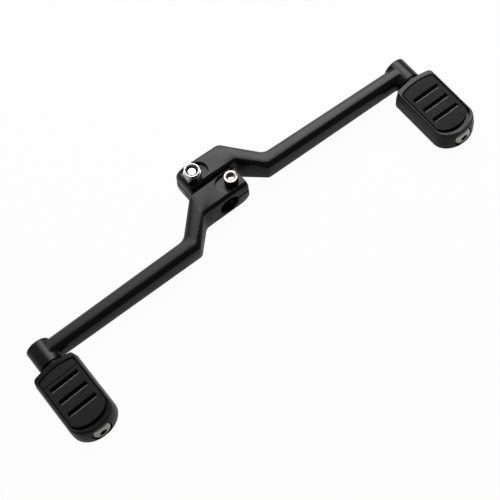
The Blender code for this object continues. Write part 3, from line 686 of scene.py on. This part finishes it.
def peg_blank(half_width, inner, tip, corner, round_end, levels):
    """A flat plate in a peg's plan, shallow arc inboard and half round outboard, then drawn up."""
    crown_radius = (half_width ** 2 + PEG_CROWN ** 2) / (2 * PEG_CROWN)
    across = half_width - corner
    along = math.sqrt((crown_radius - corner) ** 2 - across ** 2)
    turn = math.atan2(along, across)
    crown_centre = inner - crown_radius
    plan = []
    for step in range(-CROWN_STEPS, CROWN_STEPS + 1):
        angle = math.pi / 2 - (math.pi / 2 - turn) * step / CROWN_STEPS
        plan.append((crown_radius * math.cos(angle), crown_centre + crown_radius * math.sin(angle)))
    for step in range(1, PEG_CORNER_STEPS + 1):
        angle = turn * (1 - step / PEG_CORNER_STEPS)
        plan.append((across + corner * math.cos(angle), crown_centre + along + corner * math.sin(angle)))
    for step in range(ROUND_END_STEPS + 1):
        angle = -math.pi * step / ROUND_END_STEPS
        plan.append((half_width * math.cos(angle), tip + round_end * (1 + math.sin(angle))))
    for step in range(PEG_CORNER_STEPS):
        angle = math.pi - turn * step / PEG_CORNER_STEPS
        plan.append((corner * math.cos(angle) - across, crown_centre + along + corner * math.sin(angle)))
    mesh = bpy.data.meshes.new("peg_plan")
    mesh.from_pydata([(x, y, levels[0]) for x, y in plan], [], [range(len(plan))])
    blank = bpy.data.objects.new("peg_plan", mesh)
    bpy.context.collection.objects.link(blank)
    use(blank)
    bpy.ops.object.mode_set(mode="EDIT")
    bpy.ops.mesh.select_mode(type="VERT")
    bpy.ops.mesh.select_all(action="SELECT")
    for lower, upper in zip(levels, levels[1:]):
        bpy.ops.mesh.extrude_region_move(TRANSFORM_OT_translate={"value": (0, 0, upper - lower)})
    bpy.ops.mesh.select_all(action="SELECT")
    bpy.ops.mesh.normals_make_consistent(inside=False)
    bpy.ops.object.mode_set(mode="OBJECT")
    return blank


casing = peg_blank(PEG_HALF_WIDTH, PEG_INNER, PEG_TIP, PEG_CORNER, PEG_ROUND_END,
                   (PEG_BOTTOM, PEG_UPRIGHT_TOP, PEG_TOP))
outer_centre = PEG_TIP + PEG_ROUND_END
top_centre = (0, outer_centre, PEG_TOP)
tip_scale = (PEG_ROUND_END - PEG_TIP_LEAN) / PEG_ROUND_END
side_scale = (PEG_HALF_WIDTH - PEG_SIDE_LEAN) / PEG_HALF_WIDTH
transform_points(casing, lambda p: p.z > PEG_UPRIGHT_TOP + NEAR and p.y < outer_centre - NEAR,
                 bpy.ops.transform.resize, value=(1, tip_scale, 1), center_override=top_centre)
transform_points(casing, lambda p: p.z > PEG_UPRIGHT_TOP + NEAR,
                 bpy.ops.transform.resize, value=(side_scale, 1, 1), center_override=top_centre)
round_edges(casing, on_plane(Z, PEG_BOTTOM), PEG_BOTTOM_RADIUS, 8)
recess_half_width = PEG_HALF_WIDTH - PEG_SIDE_LEAN - RIM_AT_SIDES
recess_inner = PEG_INNER - RIM_AT_INNER_END
recess_tip = PEG_TIP + RIM_AT_OUTER_END
recess_floor = PEG_TOP - TREAD_RECESS
combine(casing, peg_blank(recess_half_width, recess_inner, recess_tip, TREAD_CORNER,
                          TREAD_ROUND_END, (recess_floor, PEG_TOP + OVERRUN)))
round_edges(casing, on_plane(Z, PEG_TOP), PEG_TOP_RADIUS)
inner_start = PEG_INNER + OVERRUN
combine(casing, drum(WASHER_RECESS_RADIUS, inner_start - peg_seat, (0, inner_start, 0), FACING_OUTBOARD))
combine(casing, drum(BOLT_HOLE_RADIUS, BOLT_HOLE_TOOL_LENGTH, (0, inner_start, 0), FACING_OUTBOARD))
combine(casing, drum(COUNTERBORE_RADIUS, COUNTERBORE_TOOL_LENGTH, (0, BOLT_SEAT, 0),
                     FACING_OUTBOARD, 96))
shade(casing, 30)

# Satin black enamel on a casting: a little duller than the levers, with a fine sand texture.
SAND_SIZE = 0.0006
satin, shader = new_finish("satin_black_enamel", "#0D0D0E", IOR=1.30)
where = add_node(satin, "ShaderNodeTexCoord").outputs["Object"]
sand = add_node(satin, "ShaderNodeTexNoise", {"Scale": 1 / SAND_SIZE, "Detail": 2.0}, {"Vector": where})
sheen = add_node(satin, "ShaderNodeMapRange", {**NOISE_SPAN, "To Min": 0.22, "To Max": 0.32},
                 {"Value": sand.outputs["Fac"]})
feed(shader, "Roughness", sheen.outputs["Result"])
grain = add_node(satin, "ShaderNodeBump", {"Strength": 0.08, "Distance": 0.0001},
                 {"Height": sand.outputs["Fac"]})
feed(shader, "Normal", grain.outputs["Normal"])
fit_sides(casing, "peg_casing", satin, peg_places)


# The treads are moulded rubber, bonded in the casings, with three slots across for the boot. The
# toe's has a fine seam across it inboard of the slots.
TREAD_GROOVE = 0.0007
TREAD_GROOVE_INNER_END = 0.0004
TREAD_GROOVE_OUTER_END = 0.0024
TREAD_BELOW_RIM = 0.0002
TREAD_EDGE = 0.0004
SLOTS = 3
SLOT_LENGTH = 0.0215
SLOT_WIDTH = 0.0029
SLOT_DEPTH = 0.0024
SLOT_PITCH = 0.0100
SLOT_CORNER = 0.3 * SLOT_WIDTH
SLOT_EDGE = 0.0003
FIRST_SLOT_FROM_RECESS = 0.0114
SEAM = -0.0412
SEAM_WIDTH = 0.0005
SEAM_DEPTH = 0.0008
tread_top = PEG_TOP - TREAD_BELOW_RIM
slot_middles = [recess_inner - FIRST_SLOT_FROM_RECESS - index * SLOT_PITCH for index in range(SLOTS)]


def over_slot(p):
    """Whether a point is within a slot's plan."""
    return abs(p.x) < SLOT_LENGTH / 2 + NEAR and any(
        abs(p.y - middle) < SLOT_WIDTH / 2 + NEAR for middle in slot_middles)


def on_outer_lip(p):
    """Whether a point is on the rounded lip along a slot's outer side."""
    return abs(p.x) < SLOT_LENGTH / 2 and p.z > tread_top - SLOT_EDGE - NEAR and any(
        -SLOT_EDGE - NEAR < p.y - middle + SLOT_WIDTH / 2 < NEAR for middle in slot_middles)


tread = peg_blank(recess_half_width - TREAD_GROOVE, recess_inner - TREAD_GROOVE_INNER_END,
                  recess_tip + TREAD_GROOVE_OUTER_END, TREAD_CORNER - TREAD_GROOVE,
                  TREAD_ROUND_END - TREAD_GROOVE, (recess_floor + CLEARANCE, tread_top))
on_top = on_plane(Z, tread_top)
round_edges(tread, on_top, TREAD_EDGE)
for middle in slot_middles:
    bpy.ops.mesh.primitive_cube_add(size=1, location=(0, middle, tread_top),
                                    scale=(SLOT_LENGTH, SLOT_WIDTH, 2 * SLOT_DEPTH))
    bpy.ops.object.transform_apply(location=True, rotation=True, scale=True)
    slot_tool = bpy.context.object
    round_edges(slot_tool, lambda a, b: abs(a.z - b.z) > SLOT_DEPTH, SLOT_CORNER, 5)
    combine(tread, slot_tool)
round_edges(tread, lambda a, b: on_top(a, b) and over_slot(a) and over_slot(b), SLOT_EDGE)
# The slots' faces are marked for painted shade.
mark_faces(tread, "in_slot", lambda p: over_slot(p) and p.z < tread_top - SLOT_EDGE / 2)
# The lips along the slots' outer sides are marked for a painted highlight.
mark_faces(tread, "outer_lip", on_outer_lip)
shade(tread, 35)

# Moulded rubber: near black, matt, with a fine grain and a slight bloom in patches. The slots are toned
# dark with painted shade and the lips along their outer sides pale with a painted highlight, to match the
# photo.
RUBBER_COLOUR = "#262627"
SLOT_PAINTED_SHADE = "#0B0B0C"
LIP_PAINTED_HIGHLIGHT = "#9C9C9C"
GRAIN_SIZE = 0.00045
BLOOM_SIZE = 0.008
rubber, shader = new_finish("moulded_rubber", RUBBER_COLOUR, IOR=1.2)
where = add_node(rubber, "ShaderNodeTexCoord").outputs["Object"]
bloom = add_node(rubber, "ShaderNodeTexNoise", {"Scale": 1 / BLOOM_SIZE, "Detail": 3.0},
                 {"Vector": where})
mattness = add_node(rubber, "ShaderNodeMapRange", {**NOISE_SPAN, "To Min": 0.72, "To Max": 0.86},
                    {"Value": bloom.outputs["Fac"]})
feed(shader, "Roughness", mattness.outputs["Result"])
grains = add_node(rubber, "ShaderNodeTexNoise", {"Scale": 1 / GRAIN_SIZE, "Detail": 2.0},
                  {"Vector": where})
pits = add_node(rubber, "ShaderNodeBump", {"Strength": 0.15, "Distance": 0.0001},
                {"Height": grains.outputs["Fac"]})
feed(shader, "Normal", pits.outputs["Normal"])
slot_mark = add_node(rubber, "ShaderNodeAttribute", {"attribute_name": "in_slot"})
lip_mark = add_node(rubber, "ShaderNodeAttribute", {"attribute_name": "outer_lip"})
# Painted shade in the slots, then a painted highlight on their outer lips.
slotted = add_node(rubber, "ShaderNodeMix",
                   {"data_type": "RGBA", COLOUR_A: linear(RUBBER_COLOUR),
                    COLOUR_B: linear(SLOT_PAINTED_SHADE)}, {0: slot_mark.outputs["Fac"]})
lipped = add_node(rubber, "ShaderNodeMix", {"data_type": "RGBA", COLOUR_B: linear(LIP_PAINTED_HIGHLIGHT)},
                {0: lip_mark.outputs["Fac"], COLOUR_A: slotted.outputs[MIXED_COLOUR]})
feed(shader, "Base Color", lipped.outputs[MIXED_COLOUR])
use(tread)
bpy.ops.object.duplicate()
toe_tread = bpy.context.object
bpy.ops.mesh.primitive_cube_add(size=1, location=(0, SEAM, tread_top),
                                scale=(2 * PEG_HALF_WIDTH, SEAM_WIDTH, 2 * SEAM_DEPTH))
combine(toe_tread, bpy.context.object)
shade(toe_tread, 35)
fit_sides(tread, "peg_pad", rubber, {"heel": peg_places["heel"]})
fit_sides(toe_tread, "peg_pad", rubber, {"toe": peg_places["toe"]})


# The peg screws are M8 button head socket screws in the clamp screws' plate. Each runs through its
# casing into the lever's boss.
BOLT_RADIUS = 0.0040
BOLT_LENGTH = 0.0650
BOLT_TIP_CHAMFER = 0.0008
BOLT_HEAD_RADIUS = 0.0070
BOLT_HEAD_SIDE = 0.0006
BOLT_HEAD_HEIGHT = 0.0038
BOLT_FACE_RADIUS = 0.0034
BOLT_SOCKET_ACROSS_FLATS = 0.0050
BOLT_SOCKET_DEPTH = 0.0026
BOLT_EDGE = 0.0002
DOME_STEPS = 12
stations = [(BOLT_RADIUS - BOLT_TIP_CHAMFER, -BOLT_LENGTH), (BOLT_RADIUS, BOLT_TIP_CHAMFER - BOLT_LENGTH),
            (BOLT_RADIUS, 0.0), (BOLT_HEAD_RADIUS, 0.0)]
for step in range(DOME_STEPS + 1):
    angle = math.pi / 2 * step / DOME_STEPS
    stations.append((BOLT_FACE_RADIUS + (BOLT_HEAD_RADIUS - BOLT_FACE_RADIUS) * math.cos(angle),
                     BOLT_HEAD_SIDE + (BOLT_HEAD_HEIGHT - BOLT_HEAD_SIDE) * math.sin(angle)))
bolt = turn_up(stations)
combine(bolt, hex_tool(BOLT_SOCKET_ACROSS_FLATS, BOLT_HEAD_HEIGHT - BOLT_SOCKET_DEPTH,
                       BOLT_HEAD_HEIGHT + OVERRUN))
soften(bolt, BOLT_EDGE)
socket_reach = BOLT_SOCKET_ACROSS_FLATS / math.sqrt(3) + 0.75 * BOLT_EDGE
# The socket's faces are marked for painted shade.
mark_faces(bolt, "in_socket", lambda p: math.hypot(p.x, p.y) < socket_reach and p.z > 0)
shade(bolt)
set_down(bolt, (0, BOLT_SEAT - CLEARANCE, 0), FACING_OUTBOARD)
fit_sides(bolt, "peg_bolt", plate, peg_places)


# The washers between each boss and casing are stamped from steel and blackened in hot oxide. The
# peg screws clamp them there.
WASHER_RADIUS = 0.0074
WASHER_EDGE = 0.0002
washer = turn_up([(WASHER_RADIUS, 0.0), (WASHER_RADIUS, WASHER_THICKNESS)])
combine(washer, drum(BOLT_HOLE_RADIUS, WASHER_THICKNESS + 2 * OVERRUN, (0, 0, -OVERRUN)))
soften(washer, WASHER_EDGE)
shade(washer)
set_down(washer, (0, boss_face - CLEARANCE, 0), FACING_OUTBOARD)

# Black oxide: a dark grey skin on steel that keeps a dull metal shine.
OXIDE_PATCH_SIZE = 0.0010
oxide, shader = new_finish("black_oxide_steel", "#2A2A2C", Metallic=1.0)
where = add_node(oxide, "ShaderNodeTexCoord").outputs["Object"]
skin = add_node(oxide, "ShaderNodeTexNoise", {"Scale": 1 / OXIDE_PATCH_SIZE, "Detail": 3.0},
                {"Vector": where})
sheen = add_node(oxide, "ShaderNodeMapRange", {**NOISE_SPAN, "To Min": 0.34, "To Max": 0.52},
                 {"Value": skin.outputs["Fac"]})
feed(shader, "Roughness", sheen.outputs["Result"])
fit_sides(washer, "peg_washer", oxide, peg_places)


# The studio: a sheet of white paper under the lowest piece, in a room that grows paler towards the
# back, which is what the black paint mirrors. The camera sees paper and room as white. Metal sees
# the paper at less than white.
FLOOR_SIZE = 6
PAPER_WHITE_FOR_CAMERA = 0.97
PAPER_WHITE_IN_METAL = 0.30
ROOM_FRONT, ROOM_BACK = 0.13, 0.6
ROOM_PALEST_AT = 0.7
low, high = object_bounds()
bpy.ops.mesh.primitive_plane_add(size=FLOOR_SIZE, location=(0, 0, low.z))
floor = bpy.context.object
floor.name = "studio_floor"
floor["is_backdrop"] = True
paper, shader = new_finish("white_paper", "#BDBDBD", Roughness=0.9)
rays = add_node(paper, "ShaderNodeLightPath")
glow = add_node(paper, "ShaderNodeEmission", {"Color": (1, 1, 1, 1), "Strength": 1.0})
mirrored = add_node(paper, "ShaderNodeMath", {"operation": "ADD"},
                    {0: rays.outputs["Is Glossy Ray"], 1: rays.outputs["Is Transmission Ray"]})
in_metal = add_node(paper, "ShaderNodeMath", {"operation": "MULTIPLY", 1: PAPER_WHITE_IN_METAL},
                    {0: mirrored.outputs[0]})
share = add_node(paper, "ShaderNodeMath", {"operation": "MULTIPLY_ADD", 1: PAPER_WHITE_FOR_CAMERA},
                 {0: rays.outputs["Is Camera Ray"], 2: in_metal.outputs[0]})
blend = add_node(paper, "ShaderNodeMixShader", {},
                 {0: share.outputs[0], 1: shader.outputs[0], 2: glow.outputs[0]})
feed(paper.node_tree.nodes["Material Output"], "Surface", blend.outputs[0])
floor.data.materials.append(paper)

world = bpy.data.worlds.new("studio_room")
bpy.context.scene.world = world
world.use_nodes = True
direction = add_node(world, "ShaderNodeTexCoord").outputs["Generated"]
parts = add_node(world, "ShaderNodeSeparateXYZ", {}, {0: direction})
paleness = add_node(world, "ShaderNodeMapRange",
                    {"From Max": ROOM_PALEST_AT, "To Min": ROOM_FRONT, "To Max": ROOM_BACK},
                    {"Value": parts.outputs["Y"]})
room = world.node_tree.nodes["Background"]
feed(room, "Color", paleness.outputs["Result"])
backdrop = add_node(world, "ShaderNodeBackground", {"Color": (1, 1, 1, 1), "Strength": 1.0})
rays = add_node(world, "ShaderNodeLightPath")
blend = add_node(world, "ShaderNodeMixShader", {},
                 {0: rays.outputs["Is Camera Ray"], 1: room.outputs[0], 2: backdrop.outputs[0]})
feed(world.node_tree.nodes["World Output"], "Surface", blend.outputs[0])

# Two soft boxes hang edge to edge over the back right, facing straight down. The left one is
# turned down to less than half, so that the paint's highlights fall off to the left.
BOX_HEIGHT = 1.00
BOX_BACK = 0.70
BOX_LENGTH = 1.10
BOXES_MEET = 0.22


def soft_box(name, left, right, power):
    """A rectangular light that faces down between two places across the studio."""
    light = bpy.data.lights.new(name, "AREA")
    light.shape = "RECTANGLE"
    light.size, light.size_y = right - left, BOX_LENGTH
    light.energy = power
    lamp = bpy.data.objects.new(name, light)
    bpy.context.collection.objects.link(lamp)
    lamp.location = ((left + right) / 2, BOX_BACK, BOX_HEIGHT)


soft_box("main_soft_box", left=BOXES_MEET, right=1.36, power=25.6)
soft_box("dimmed_soft_box", left=-0.14, right=BOXES_MEET, power=3.5)

# The camera looks down on the levers from in front, a little from the toe side.
AZIMUTH, ELEVATION, ROLL = (math.radians(a) for a in (-32.85, 62.75, -5.46))
AIM_ACROSS, AIM_UP, DISTANCE = -0.02503, 0.04327, 0.9412
SENSOR_WIDTH_MM, LENS_MM = 36, 100.8
back = Vector((math.sin(AZIMUTH) * math.cos(ELEVATION), -math.cos(AZIMUTH) * math.cos(ELEVATION),
               math.sin(ELEVATION)))
level_right = Vector((math.cos(AZIMUTH), math.sin(AZIMUTH), 0))
level_up = back.cross(level_right)
right = level_right * math.cos(ROLL) + level_up * math.sin(ROLL)
up = level_up * math.cos(ROLL) - level_right * math.sin(ROLL)
camera_data = bpy.data.cameras.new("studio_camera")
camera_data.sensor_width = SENSOR_WIDTH_MM
camera_data.lens = LENS_MM
camera = bpy.data.objects.new("studio_camera", camera_data)
bpy.context.collection.objects.link(camera)
camera.matrix_world = (Matrix.Translation(right * -AIM_ACROSS + up * -AIM_UP + back * DISTANCE)
                       @ Matrix((right, up, back)).transposed().to_4x4())
bpy.context.scene.camera = camera
bpy.context.scene.view_settings.view_transform = "Standard"

low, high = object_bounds()
